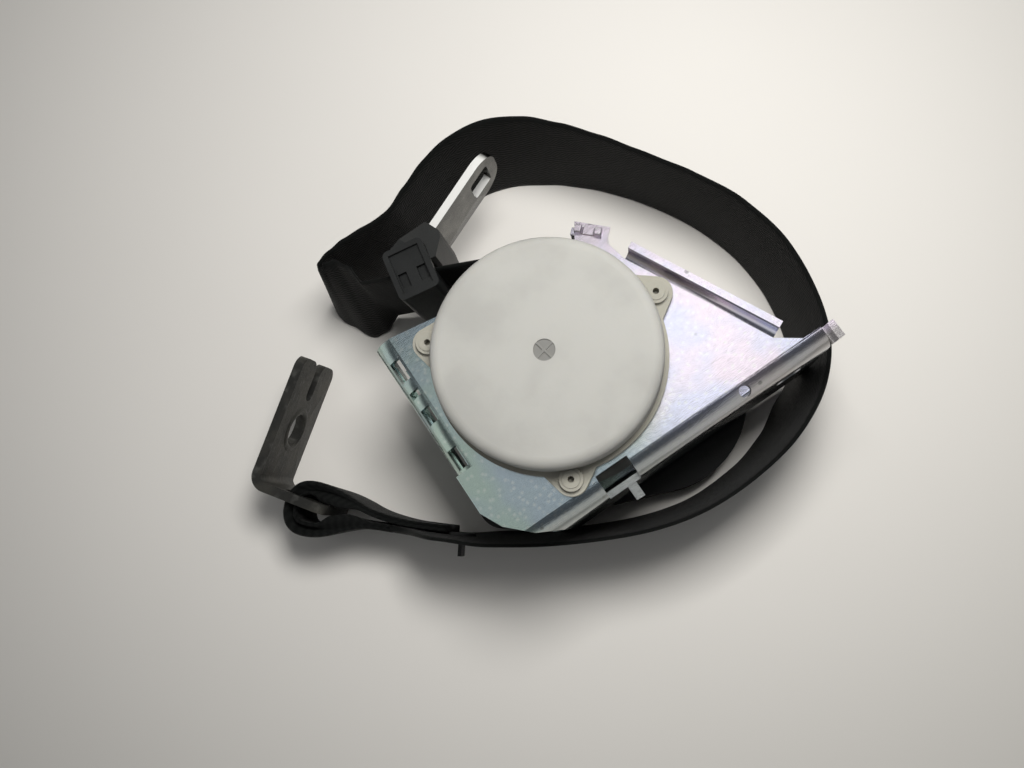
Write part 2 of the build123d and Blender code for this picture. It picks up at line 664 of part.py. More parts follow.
# Free webbing. It leaves the roll along a tangent, slopes down through the tongue, folds back and
# stands on edge in a wide loop to the lower anchor. The route is the middle line, in plan.
loop_route = [(-46.0, 65.6), (-50.5, 71.5), (-46.5, 79.0), (-34.0, 78.4), (-18.0, 74.4), (-4.0, 78.4),
              (11.0, 81.6), (25.0, 79.6), (38.0, 71.6), (50.5, 58.6), (62.5, 42.0), (72.6, 23.4),
              (78.4, 2.0), (77.4, -21.0), (70.8, -39.5), (59.6, -49.6), (43.0, -57.0), (21.0, -59.2),
              (0.0, -55.6), (-22.0, -45.6), (-46.0, -31.4), (-64.0, -17.4), (-74.5, -7.5)]
roll_gap = 0.3
leave_radius = roll_radius + roll_gap + webbing_thickness / 2
lead_foot = loop_route[0]
lead_foot_angle = math.degrees(math.atan2(lead_foot[1], lead_foot[0]))
leave_angle = lead_foot_angle - math.degrees(math.acos(leave_radius / math.hypot(*lead_foot)))
strand_angle = leave_angle + 90
leave_point = polar(leave_radius, leave_angle)
level_lead = math.sqrt(spool_flange_radius ** 2 - leave_radius ** 2) + flange_to_slope
route = [leave_point] + loop_route


def corner_radii(points):
    """A radius for each corner: 0.45 of the shorter run over the tangent of half the turn."""
    radii = []
    for before, corner, after in zip(points, points[1:], points[2:]):
        incoming = Vector(*corner) - Vector(*before)
        outgoing = Vector(*after) - Vector(*corner)
        turn = math.radians(incoming.get_angle(outgoing))
        radii.append(0.45 * min(incoming.length, outgoing.length) / math.tan(turn / 2))
    return radii


def ribbon(edges, thickness, z_low, z_high):
    """Webbing standing on edge along plan edges, as flat plates and arcs of one thickness."""
    body = None
    for edge in edges:
        rails = []
        for side in (0.5, -0.5):
            places = []
            for share in (0.0, 0.5, 1.0):
                along = edge % share
                across = Vector(-along.Y, along.X, 0) * (side * thickness)
                places.append(edge @ share + across)
            straight = edge.geom_type == GeomType.LINE
            rails.append((Line(places[0], places[2]) if straight else ThreePointArc(*places), places))
        ends = [Line(rails[0][1][0], rails[1][1][0]), Line(rails[0][1][2], rails[1][1][2])]
        plate = extrude(make_face([rails[0][0], rails[1][0]] + ends), z_high - z_low)
        plate = plate.moved(Pos(0, 0, z_low))
        body = plate if body is None else body + plate
    return body


route_radii = corner_radii(route)
print("webbing radii", [round(value, 1) for value in route_radii])
route_line = FilletPolyline(*route, radius=route_radii)
route_edges = route_line.edges()
print("free webbing length", round(route_line.length, 1))

lead_length = route_edges[0].length
strand = polar(1.0, strand_angle)
lead_plane = Plane(origin=(leave_point[0], leave_point[1], 0), x_dir=(strand[0], strand[1], 0),
                   z_dir=(strand[1], -strand[0], 0))
lead_face = make_face(lead_plane * Polyline((0, roll_low), (level_lead, roll_low), (lead_length, 0),
                                            (lead_length, webbing_width), (level_lead, roll_high),
                                            (0, roll_high), close=True))
save("webbing_lead", extrude(lead_face, webbing_thickness / 2, both=True))
webbing_loop = ribbon(route_edges[1:], webbing_thickness, 0, webbing_width)

# Tongue stop: a moulded button riveted through the webbing near the anchor, with an outward fin
button_radius = 4.5
button_thickness = 1.0
button_gap = 0.1
shank_radius = 1.3
fin_reach = 4.6
fin_height = 6.0
fin_thickness = 1.2
fin_lap = 0.2
stop_edge = route_edges[-3]
stop_point = stop_edge @ 0.5
stop_way = stop_edge % 0.5
stop_angle = math.degrees(math.atan2(stop_way.Y, stop_way.X))
stop_seat = Pos(stop_point.X, stop_point.Y, webbing_width / 2) * Rot(0, 0, stop_angle) * Rot(90, 0, 0)
button_face = webbing_thickness / 2 + button_thickness
shank = Cylinder(shank_radius, 2 * button_face)
webbing_room = Cylinder(button_radius + overreach, webbing_thickness + 2 * button_gap)
stop_button = Cylinder(button_radius, 2 * button_face) - webbing_room + shank
fin_middle = -(button_face - fin_lap + fin_reach / 2)
stop_button = stop_button + Pos(0, 0, fin_middle) * Box(fin_thickness, fin_height, fin_reach)
save("stop_button", stop_seat * stop_button)
save("webbing_loop", webbing_loop - stop_seat * shank)

# Lower anchor: an L of plate standing on its edge, forked at the bolt end, slotted for the webbing
slot_round = 2.0
prong_round = 4.2
short_leg_round = 4.0
short_way = polar(1.0, anchor_angle - 90)
bar_middle = (anchor_short_leg + anchor_slot[1]) / 2
bar_point = (anchor_corner[0] + bar_middle * short_way[0], anchor_corner[1] + bar_middle * short_way[1])
anchor = block((0, anchor_leg), (-anchor_thickness, 0), (0, anchor_width))
anchor = anchor + block((0, anchor_thickness), (-anchor_short_leg, 0), (0, anchor_width))
corner_edge = anchor.edges().filter_by(Axis.Z).sort_by(lambda edge: edge.center().X - edge.center().Y)[0]
anchor = fillet(corner_edge, anchor_bend_outside)
inside_corner = anchor.edges().filter_by(Axis.Z).sort_by(
    lambda edge: math.dist((edge.center().X, edge.center().Y), (anchor_thickness, -anchor_thickness)))[0]
anchor = fillet(inside_corner, anchor_bend_outside - anchor_thickness)
slot_cut = block((-overreach, anchor_thickness + overreach), (-anchor_slot[1], -anchor_slot[0]),
                 (anchor_slot_margin, anchor_width - anchor_slot_margin))
anchor = anchor - fillet(slot_cut.edges().filter_by(Axis.X), slot_round)


def leg_bore(radius, along):
    """A round cutter through the long leg, at the middle of its width."""
    seat = Pos(along, -anchor_thickness / 2, anchor_width / 2) * Rot(90, 0, 0)
    return seat * Cylinder(radius, 3 * anchor_thickness)


fork_cut = block((fork_start, anchor_leg + overreach), (-anchor_thickness - overreach, overreach),
                 ((anchor_width - fork_gap) / 2, (anchor_width + fork_gap) / 2))
anchor = anchor - leg_bore(anchor_hole_radius, anchor_hole_along)
anchor = anchor - fork_cut - leg_bore(fork_gap / 2, fork_start)
prong_ends = anchor.edges().filter_by(Axis.Y).group_by(Axis.X)[-1]
anchor = fillet(prong_ends, prong_round)
short_ends = anchor.edges().filter_by(Axis.X).group_by(Axis.Y)[0]
anchor = fillet(short_ends, short_leg_round)
save("anchor_plate", Pos(*anchor_corner) * Rot(0, 0, anchor_angle) * anchor)

# Sewn loop: the webbing's end, folded to half its width and stitched back round the anchor's bar
loop_outer_radius = 9.8
loop_tail_wall = 0.4
loop_eye_share = 0.72
loop_eye_tip = 0.9
fold_thickness = 2 * webbing_thickness
tail = route[-1]
loop_low = (anchor_width - webbing_width / 2) / 2
loop_high = loop_low + webbing_width / 2
outer_loop = hull_block([(*bar_point, loop_outer_radius), (*tail, fold_thickness + loop_tail_wall)],
                        loop_low, loop_high)
eye_tip = (bar_point[0] + loop_eye_share * (tail[0] - bar_point[0]),
           bar_point[1] + loop_eye_share * (tail[1] - bar_point[1]))
eye = hull_block([(*bar_point, loop_outer_radius - fold_thickness), (*eye_tip, loop_eye_tip)],
                 loop_low - overreach, loop_high + overreach)
sewn_loop = outer_loop - eye
sewn_loop = sewn_loop - ribbon(route_edges[-1:], webbing_thickness, -overreach, webbing_width + overreach)
save("webbing_sewn_loop", sewn_loop)

# Tongue, built about the middle of its slot: x along the slotted part, y through it, z up
slope = math.degrees(math.atan2(roll_low, lead_length - level_lead))
tongue_drop = roll_low * (tongue_on_strand - level_lead) / (lead_length - level_lead)
tongue_point = (leave_point[0] + tongue_on_strand * strand[0], leave_point[1] + tongue_on_strand * strand[1],
                mid_z - tongue_drop)
tongue_angle = leave_angle + tongue_turn
tongue_seat = Pos(*tongue_point) * Rot(0, 0, tongue_angle)
turned = math.radians(tongue_turn)
webbing_drop = grip_half_thickness * math.tan(math.radians(slope)) / math.cos(turned)
mouth_half_width = grip_half_thickness * math.tan(turned) + webbing_thickness / 2 / math.cos(turned)
mouth_half_width = mouth_half_width + mouth_clearance
mouth_half_height = webbing_width / 2 + webbing_drop + mouth_clearance
slot_half_width = mouth_half_width + mouth_lining
slot_half_height = mouth_half_height + mouth_lining
plate_half_height = slot_half_height + tongue_end_bar
plate_end = -slot_half_width - tongue_bar
bend_start = slot_half_width + tongue_shoulder
through = 3 * grip_half_thickness
latch_window_middle = 34.5
latch_window_long = 9.0
latch_window_high = 11.0
latch_window_round = 1.5

slotted = block((plate_end, bend_start), (-blade_thickness / 2, blade_thickness / 2),
                (-plate_half_height, plate_half_height))
tongue_slot = block((-slot_half_width, slot_half_width), (-through, through),
                    (-slot_half_height, slot_half_height))
blade_seat = Pos(bend_start, 0, blade_above_slot) * Rot(0, 0, -blade_bend)
blade = block((0, blade_length), (-blade_thickness / 2, blade_thickness / 2),
              (-blade_width / 2, blade_width / 2))
blade = fillet(blade.edges().filter_by(Axis.Y).group_by(Axis.X)[-1], blade_end_round)
latch_window_x = (latch_window_middle - latch_window_long / 2, latch_window_middle + latch_window_long / 2)
latch_window = block(latch_window_x, (-through, through), (-latch_window_high / 2, latch_window_high / 2))
blade = blade - fillet(latch_window.edges().filter_by(Axis.Y), latch_window_round)
knuckle = Cylinder(blade_thickness / 2, blade_width)
tongue_plate = slotted - tongue_slot + blade_seat * (blade + knuckle)
save("tongue_plate", tongue_seat * tongue_plate)

# Tongue grip: black moulding round the slotted part, with a shoulder that tapers to the blade. The
# shoulder's plan is in the blade's own axes, with x along the blade from its bend.
grip_end_skin = 0.8
grip_round = 1.8
top_rim = 1.7
top_recess = 1.2
pocket_depth = 1.5
pocket_x = (-5.2, -0.4)
pocket_y = (1.7, 4.5)
shoulder_length = 12.0
shoulder_blade_gap = 1.6
shoulder_root = -5.0
shoulder_knee = 2.0
shoulder_plan = [(shoulder_root, -7.0), (3.8, -9.4), (10.4, -5.2), (shoulder_length, -3.0),
                 (shoulder_length, 2.2), (shoulder_root, 3.2)]
grip_half_height = mouth_half_height + grip_end_wall
shoulder_top = grip_half_height - blade_above_slot - 1.0
shoulder_foot = -grip_half_height - blade_above_slot + 3.0
shoulder_tip = blade_width / 2 + shoulder_blade_gap
shoulder_side = [(shoulder_root, shoulder_foot), (shoulder_knee, shoulder_foot + 2.0),
                 (shoulder_length, -shoulder_tip), (shoulder_length, shoulder_tip),
                 (shoulder_knee, shoulder_top - 1.0), (shoulder_root, shoulder_top)]
grip_x = (plate_end - grip_skin, bend_start + grip_end_skin)
grip = block(grip_x, (-grip_half_thickness, grip_half_thickness), (-grip_half_height, grip_half_height))
grip = fillet(grip.edges().filter_by(Axis.Z), grip_round)
shoulder_face = make_face(Plane.XZ * Polyline(*shoulder_side, close=True))
shoulder = prism(shoulder_plan, shoulder_foot, shoulder_top) & extrude(shoulder_face, through, both=True)
grip = grip + blade_seat * shoulder
grip = grip - block((-mouth_half_width, mouth_half_width), (-grip_half_thickness, through),
                    (-mouth_half_height, mouth_half_height))
grip = grip - (slotted - tongue_slot) - blade_seat * (blade + knuckle)
recess_x = (grip_x[0] + top_rim, grip_x[1] - top_rim)
recess_y = (top_rim - grip_half_thickness, grip_half_thickness - top_rim)
recess_z = grip_half_height - top_recess
for side in (1, -1):
    grip = grip - block(recess_x, recess_y, sorted((side * recess_z, side * (grip_half_height + overreach))))
for side in (1, -1):
    grip = grip - block(pocket_x, sorted((side * pocket_y[0], side * pocket_y[1])),
                        (recess_z - pocket_depth, recess_z + overreach))
save("tongue_grip", tongue_seat * grip)

print("tongue point", [round(value, 2) for value in tongue_point], "angle", round(tongue_angle, 2))
print("slope", round(slope, 3), "strand angle", round(strand_angle, 3))
print("anchor bar", [round(value, 2) for value in bar_point])
print("pawl point", [round(value, 2) for value in pawl_point])
print("lever pivot", round(pivot_x, 2), round(pivot_y, 2))
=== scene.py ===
import math

import bmesh
import bpy
from mathutils import Matrix, Vector


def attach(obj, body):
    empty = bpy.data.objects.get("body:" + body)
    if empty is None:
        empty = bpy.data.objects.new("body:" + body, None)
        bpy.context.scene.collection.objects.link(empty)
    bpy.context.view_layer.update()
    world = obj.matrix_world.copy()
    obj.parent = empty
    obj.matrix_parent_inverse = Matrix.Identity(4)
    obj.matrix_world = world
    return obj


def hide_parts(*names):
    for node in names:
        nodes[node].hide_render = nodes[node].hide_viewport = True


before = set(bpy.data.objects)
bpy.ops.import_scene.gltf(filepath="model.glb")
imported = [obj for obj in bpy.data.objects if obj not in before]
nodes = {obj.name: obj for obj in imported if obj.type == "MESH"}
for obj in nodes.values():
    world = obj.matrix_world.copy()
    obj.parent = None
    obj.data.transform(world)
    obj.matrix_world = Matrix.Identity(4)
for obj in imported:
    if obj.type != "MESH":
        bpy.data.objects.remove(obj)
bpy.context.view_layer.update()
mm = 0.001

# Camera. It looks almost straight down on the spring side, from a third of a metre up, and stands a
# little to the back wall's side. The picture is turned by 34 degrees from the frame's X.
camera_data = bpy.data.cameras.new("camera")
camera_data.lens = 33.5
camera_data.sensor_width = 36.0
camera_data.clip_start = 0.02
camera = bpy.data.objects.new("camera", camera_data)
camera.location = (-3.65 * mm, -54.07 * mm, 334.67 * mm)
camera.rotation_euler = [math.radians(angle) for angle in (8.416, 8.152, -34.099)]
bpy.context.scene.collection.objects.link(camera)
bpy.context.scene.camera = camera

# Free webbing. A 47 mm polyester belt woven in herringbone bands between two selvedges. It leaves
# the roll, slopes down through the tongue, folds back on itself and stands on edge in a wide loop.
belt_width = 47.0
belt_thickness = 1.2
roll_middle_z = 41.25
loop_middle_z = 23.5
lead_points = [(16.80, 28.28, roll_middle_z), (5.64, 34.91, roll_middle_z), (-39.6, 61.8, 24.8)]
loop_points = [(-46.0, 65.6), (-50.5, 71.5), (-46.5, 79.0), (-34.0, 78.4), (-18.0, 74.4), (-4.0, 78.4),
               (11.0, 81.6), (25.0, 79.6), (38.0, 71.6), (50.5, 58.6), (62.5, 42.0), (72.6, 23.4),
               (78.4, 2.0), (77.4, -21.0), (70.8, -39.5), (59.6, -49.6), (43.0, -57.0), (21.0, -59.2),
               (0.0, -55.6), (-22.0, -45.6), (-46.0, -31.4), (-64.0, -17.4), (-74.5, -7.5)]
route = lead_points + [(x, y, loop_middle_z) for x, y in loop_points]

# How the standing belt leans: at each distance along it, how far its top and its foot bow out of the
# loop. The last stretch is folded in half along its length, down to the height of the sewn end.
bows = [(0, 0.0, 0.0), (62, 0.0, 0.0), (67, -6.4, 5.6), (72, -9.0, 7.0), (79, -7.8, 3.8), (86, -5.2, 4.6),
        (92, -4.4, 0.6), (98, -3.2, -4.0), (104, -1.9, -5.0), (112, -0.8, -3.2), (120, -0.5, -1.6),
        (130, 0.8, -1.6), (140, 2.0, -1.8), (150, 2.7, -2.1), (162, 3.1, -2.8), (175, 2.6, -3.0),
        (186, 1.4, -2.3), (200, 0.2, -1.6), (212, -0.7, -1.4), (222, -0.9, -1.5), (232, -0.5, -1.7),
        (250, 0.8, -2.0), (268, 1.7, -2.4), (285, 1.5, -3.0), (303, 1.6, -4.0), (318, 2.2, -6.2),
        (330, 2.1, -5.2), (345, 1.9, -4.2), (370, 2.2, -3.2), (410, 2.2, -2.6), (430, 1.8, -2.2),
        (446, 0.6, -0.8), (458, 0.0, 0.0)]
half_fold_start = 446.0
half_fold_end = 464.0
half_fold_bulge = 0.9
sewn_middle_z = 15.0
edge_steps = 20
weave_band = 9.4
weave_depth = 0.16


class Value:
    """One value in a shader. Sums and products of values make the maths nodes."""

    def __init__(self, surface, socket):
        self.surface = surface
        self.socket = socket

    def maths(self, operation, first, second=0.0):
        return self.surface.node("ShaderNodeMath", {"operation": operation}, {0: first, 1: second})

    def __add__(self, other):
        return self.maths("ADD", self, other)

    def __radd__(self, other):
        return self.maths("ADD", other, self)

    def __sub__(self, other):
        return self.maths("SUBTRACT", self, other)

    def __rsub__(self, other):
        return self.maths("SUBTRACT", other, self)

    def __mul__(self, other):
        return self.maths("MULTIPLY", self, other)

    def __rmul__(self, other):
        return self.maths("MULTIPLY", other, self)

    def __truediv__(self, other):
        return self.maths("DIVIDE", self, other)

    def absolute(self):
        return self.maths("ABSOLUTE", self)

    def sine(self):
        return self.maths("SINE", self)

    def fraction(self):
        return self.maths("FRACT", self)

    def most(self, other):
        """The greater of two values."""
        return self.maths("MAXIMUM", self, other)

    def ramp(self, low, high):
        """0 at low, 1 at high and a smooth change between. It falls where low is the greater."""
        ends = {"From Min": low, "From Max": high, "To Min": 0.0, "To Max": 1.0}
        if low > high:
            ends = {"From Min": high, "From Max": low, "To Min": 1.0, "To Max": 0.0}
        return self.surface.node("ShaderNodeMapRange", {"interpolation_type": "SMOOTHSTEP"},
                                 {"Value": self, **ends})


class Surface:
    """A material while it is made: its shader, and the nodes that feed it."""

    def __init__(self, name, fixed):
        self.material = bpy.data.materials.new(name)
        self.material.use_nodes = True
        self.tree = self.material.node_tree
        self.shader = self.tree.nodes["Principled BSDF"]
        for socket, value in fixed.items():
            self.feed(self.shader.inputs[socket], value)

    def feed(self, socket, value):
        """Link a value to a socket, or set the socket to a number or a colour."""
        if isinstance(value, Value):
            self.tree.links.new(value.socket, socket)
        elif socket.type == "RGBA":
            socket.default_value = (*value, 1.0)
        else:
            socket.default_value = value

    def node(self, kind, settings=None, sockets=None, output=0):
        """Add a node, set it up, feed its sockets and give one of its outputs."""
        made = self.tree.nodes.new(kind)
        for name, value in (settings or {}).items():
            setattr(made, name, value)
        for name, value in (sockets or {}).items():
            self.feed(made.inputs[name], value)
        return Value(self, made.outputs[output])

    def place(self, output="Object"):
        """The point on the part in millimetres, or with output UV the place along and across a belt."""
        point = self.node("ShaderNodeTexCoord", output=output)
        return self.node("ShaderNodeVectorMath", {"operation": "SCALE"}, {0: point, "Scale": 1000.0})

    def axis(self, vector, name):
        return self.node("ShaderNodeSeparateXYZ", None, {0: vector}, name)

    def stretch(self, vector, factors):
        return self.node("ShaderNodeVectorMath", {"operation": "MULTIPLY"}, {0: vector, 1: factors})

    def distance(self, vector, point):
        """Distance in millimetres from a point. A factor of 0 on an axis leaves that axis out."""
        return self.node("ShaderNodeVectorMath", {"operation": "DISTANCE"}, {0: vector, 1: point}, "Value")

    def noise(self, vector, scale, detail=2.0, roughness=0.5):
        """Soft noise from 0 to 1, with scale in blotches a millimetre."""
        return self.node("ShaderNodeTexNoise", None, {"Vector": vector, "Scale": scale, "Detail": detail,
                                                      "Roughness": roughness})

    def cells(self, vector, scale):
        """Distance to the nearest of scattered points, with scale in points a millimetre."""
        return self.node("ShaderNodeTexVoronoi", None, {"Vector": vector, "Scale": scale})

    def blend(self, first, second, share):
        """One colour turning into another."""
        return self.node("ShaderNodeMix", {"data_type": "RGBA"}, {0: share, 6: first, 7: second}, 2)

    def colour(self, value):
        self.feed(self.shader.inputs["Base Color"], value)

    def roughness(self, value):
        self.feed(self.shader.inputs["Roughness"], value)

    def relief(self, height, depth):
        """Raise and sink the surface by a height from 0 to 1, over a depth in millimetres."""
        normal = self.node("ShaderNodeBump", None, {"Height": height, "Distance": depth * mm})
        self.feed(self.shader.inputs["Normal"], normal)

    def onto(self, *objects):
        """Give the finished material to objects."""
        for thing in objects:
            thing.data.materials.clear()
            thing.data.materials.append(self.material)


def webbing_surface():
    """Black polyester weave: herringbone bands, a fine rib and a tight selvedge at each edge, the raised
    yarn painted paler as a painted highlight.
    """
    surface = Surface("webbing", {"Sheen Weight": 0.03, "Sheen Roughness": 0.4, "Specular IOR Level": 0.16})
    place = surface.place("UV")
    along = surface.axis(place, "X")
    across = surface.axis(place, "Y")
    band = ((across / weave_band).fraction() - 0.5).absolute()
    twill = ((along * 0.9 + band * 17.0) * 2.6).sine() * 0.5 + 0.5
    rib = (across * 4.2).sine() * 0.5 + 0.5
    selvedge = (across - belt_width / 2).absolute().ramp(21.2, 22.0)
    height = (twill * 0.7 + rib * 0.3) * (1.0 - selvedge) + selvedge * 0.6
    fuzz = surface.noise(surface.stretch(place, (0.6, 2.0, 1.0)), 2.0, 4.0)
    patch = surface.noise(surface.place(), 0.045)
    dark = surface.blend((0.0020, 0.0023, 0.0023), (0.0042, 0.0046, 0.0045), patch.ramp(0.3, 0.7))
    # Painted highlight: the raised yarn and the selvedges are painted paler than the black ground.
    surface.colour(surface.blend(dark, (0.018, 0.019, 0.018), height * 0.55 * fuzz))
    surface.roughness(0.62 + fuzz * 0.25)
    surface.relief(height + fuzz * 0.35, weave_depth)
    return surface


def along_route(points, name):
    """Points close together on the smooth curve that a row of control points in millimetres pulls."""
    curve = bpy.data.curves.new(name, "CURVE")
    curve.dimensions = "3D"
    curve.resolution_u = 14
    spline = curve.splines.new("NURBS")
    spline.points.add(len(points) - 1)
    for point, place in zip(spline.points, points):
        point.co = (*(value * mm for value in place), 1.0)
    spline.order_u = 3
    spline.use_endpoint_u = True
    guide = bpy.data.objects.new(name, curve)
    bpy.context.scene.collection.objects.link(guide)
    bpy.context.view_layer.update()
    mesh = bpy.data.meshes.new_from_object(guide.evaluated_get(bpy.context.evaluated_depsgraph_get()))
    places = [vertex.co.copy() for vertex in mesh.vertices]
    bpy.data.meshes.remove(mesh)
    bpy.data.objects.remove(guide)
    return places


def new_piece(name, work, body, smooth_angle=None):
    """Turn finished mesh work into an object that rides on a body."""
    mesh = bpy.data.meshes.new(name)
    bmesh.ops.recalc_face_normals(work, faces=work.faces)
    work.to_mesh(mesh)
    work.free()
    piece = bpy.data.objects.new(name, mesh)
    bpy.context.scene.collection.objects.link(piece)
    for polygon in mesh.polygons:
        polygon.use_smooth = True
    if smooth_angle is not None:
        mesh.set_sharp_from_angle(angle=math.radians(smooth_angle))
    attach(piece, body)
    return piece


def strip_ring(width, thickness, steps):
    """A belt's cross-section in millimetres as (up, out) pairs, with rounded selvedges, once round."""
    ring = []
    for side in (1, -1):
        for step in range(steps + 1):
            share = step / steps if side > 0 else 1 - step / steps
            edge = min(share, 1 - share) * width
            fullness = min(1.0, 0.45 + edge / (1.6 * thickness))
            ring.append(((share - 0.5) * width, side * fullness * thickness / 2))
    return ring


def strip_mesh(places, ring, shape):
    """Sweep a belt's cross-section along places. shape(length, up, out) bends each point of it."""
    work = bmesh.new()
    layer = work.loops.layers.uv.new("UVMap")
    rows = []
    lengths = []
    length = 0.0
    for number, place in enumerate(places):
        before = places[max(number - 1, 0)]
        after = places[min(number + 1, len(places) - 1)]
        way = Vector((after.x - before.x, after.y - before.y, 0)).normalized()
        side = Vector((-way.y, way.x, 0))
        if number:
            length += (place - places[number - 1]).length / mm
        lengths.append(length)
        row = []
        for up, out in ring:
            up, out = shape(length, up, out)
            row.append(work.verts.new(place + (Vector((0, 0, up)) + side * out) * mm))
        rows.append(row)
    count = len(ring)
    for number in range(len(rows) - 1):
        for step in range(count):
            following = (step + 1) % count
            face = work.faces.new((rows[number][step], rows[number][following],
                                   rows[number + 1][following], rows[number + 1][step]))
            marks = [(lengths[number], ring[step][0]), (lengths[number], ring[following][0]),
                     (lengths[number + 1], ring[following][0]), (lengths[number + 1], ring[step][0])]
            for loop, mark in zip(face.loops, marks):
                loop[layer].uv = (mark[0] * mm, (mark[1] + belt_width / 2) * mm)
    for row in (rows[0], rows[-1]):
        work.faces.new(row)
    return work


def smooth_step(value, low, high):
    """0 below low, 1 above high, smooth between."""
    share = min(1.0, max(0.0, (value - low) / (high - low)))
    return share * share * (3 - 2 * share)


def belt_shape(length, up, out):
    """The standing belt's lean, and the fold along its last stretch."""
    number = max(index for index, bow in enumerate(bows) if bow[0] <= length)
    here = bows[number]
    there = bows[min(number + 1, len(bows) - 1)]
    share = smooth_step(length, here[0], max(there[0], here[0] + 1))
    top = here[1] + share * (there[1] - here[1])
    foot = here[2] + share * (there[2] - here[2])
    height = up / belt_width + 0.5
    fold = smooth_step(length, half_fold_start, half_fold_end)
    bulge = 1 + half_fold_bulge * fold
    return (up * (1 - fold / 2) + fold * (sewn_middle_z - loop_middle_z),
            out * bulge + top * height + foot * (1 - height))


belt_places = along_route(route, "belt_guide")
belt_ring = strip_ring(belt_width, belt_thickness, edge_steps)
belt = new_piece("belt", strip_mesh(belt_places, belt_ring, belt_shape), "retractor")
webbing = webbing_surface()
webbing.onto(belt)
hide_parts("webbing_lead", "webbing_loop")

# Wound webbing. The rest of the belt lies on the spool in about fifteen even turns, and the last
# turn leaves along the tangent that the free webbing takes. Only its outside and edges show.
roll_radius = 32.0
core_radius = 13.2
turn_pitch = 1.25
wound_thickness = 1.1
wound_edge_steps = 4
leave_angle = 59.28
steps_a_turn = 48


def wound_roll():
    """A spiral of belt from the core out to the roll's outer turn."""
    turns = (roll_radius - core_radius) / turn_pitch
    steps = int(turns * steps_a_turn)
    places = []
    for step in range(steps + 1):
        share = step / steps
        radius = core_radius + turn_pitch / 2 + share * (roll_radius - core_radius - turn_pitch)
        angle = math.radians(leave_angle) + (share - 1) * turns * 2 * math.pi
        places.append(Vector((radius * math.cos(angle), radius * math.sin(angle), roll_middle_z)) * mm)
    return places


def wound_shape(length, up, out):
    """The wound belt stands straight."""
    return (up, out)


wound_ring = strip_ring(belt_width, wound_thickness, wound_edge_steps)
roll = new_piece("belt_roll", strip_mesh(wound_roll(), wound_ring, wound_shape), "spool")
webbing.onto(roll)
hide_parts("webbing_roll")

# Sewn end. The belt, folded in half along its length with its edges up, passes through the anchor's
# slot round its bar and is stitched back on its own inner side. It is puffy where it goes round.
bar_point = (-93.25, 12.27)
tail_point = (-74.5, -7.5)
sewn_height = 23.5
ply_pair = 2.4
ply_groove = 0.8
open_groove = 5.0
inner_ply_gap = 2.45
# Where its plies spread, as distances along it from the puffiest place, and by how much at the top
puff_middle = 38.0
puff_core = 8.0
puff_reach = 32.0
fill_rise = (11.0, 17.0)
fill_fall = (22.0, 31.0)
outer_puff = 1.6
inner_puff = 0.55
inner_fill = 2.1
# The loop's middle line, as distances along the line from the tail to the bar and across it
loop_plan = [(-28.0, 0.0), (-20.0, 0.4), (-13.0, 2.0), (-6.0, 4.8), (0.0, 6.0), (5.0, 5.8), (7.5, 2.7),
             (7.5, -2.7), (5.2, -6.2), (0.0, -7.2), (-6.0, -7.0), (-13.0, -5.6), (-20.0, -3.4)]
inner_ply_stations = (462.0, 455.0, 447.0)


def folded_ring():
    """The folded belt's cross-section: a rounded fold at its foot, and a groove between its top edges."""
    half = ply_pair / 2
    foot = -sewn_height / 2
    top = sewn_height / 2
    side = [(foot + 0.35, 0.55 * half), (foot + 1.2, half), (foot + 9.0, half), (top - 5.0, half),
            (top - 1.0, half), (top - 0.3, 0.85 * half), (top, 0.65 * half), (top - 0.3, 0.4 * half)]
    other = [(up, -out) for up, out in reversed(side)]
    return [(foot, 0.0)] + side + [(top - ply_groove, 0.0)] + other


def loop_shape(length, up, out):
    """Spread the folded belt's top edges: outwards round the bar, and inwards between bar and seam."""
    away = abs(length - puff_middle)
    puff = 1 - smooth_step(away, puff_core, puff_reach)
    fill = smooth_step(away, *fill_rise) * (1 - smooth_step(away, *fill_fall))
    height = up / sewn_height + 0.5
    if out == 0.0 and up > 0:
        return (up - puff * open_groove, out)
    spread = outer_puff * puff if out > 0 else inner_puff * puff + inner_fill * fill
    return (up, out * (1 + height * spread))


def loop_place(along, across):
    """A point of the sewn end's plan, in millimetres."""
    way = Vector((bar_point[0] - tail_point[0], bar_point[1] - tail_point[1])).normalized()
    place = Vector(bar_point) + way * along + Vector((-way.y, way.x)) * across
    return (place.x, place.y, sewn_middle_z)


def beside_belt(distance):
    """A point on the inner side of the standing belt, at a distance along it."""
    length = 0.0
    for before, after in zip(belt_places, belt_places[1:]):
        step = (after - before).length / mm
        if length + step >= distance:
            break
        length += step
    way = (after - before).normalized()
    place = before.lerp(after, (distance - length) / step) / mm
    return (place.x + way.y * inner_ply_gap, place.y - way.x * inner_ply_gap, sewn_middle_z)


sewn_points = [loop_place(along, across) for along, across in loop_plan]
sewn_points += [beside_belt(distance) for distance in inner_ply_stations]
loop_places = along_route(sewn_points, "loop_guide")
anchor_loop = new_piece("anchor_loop", strip_mesh(loop_places, folded_ring(), loop_shape), "retractor")
webbing.onto(anchor_loop)
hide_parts("webbing_sewn_loop")

# Stitches. Heavy black polyester thread goes through all the plies in a close zigzag, in seven rows up
# the sewn end, and holds the belt's folded end to its own inner side.
stitch_length = 2.3
stitch_radius = 0.28
stitch_lean = 35.0
stitch_pitch = 1.9
stitch_rows = 7
stitch_columns = 8
stitch_margin = 2.0
seam_start = 19.5
seam_out = 3.55


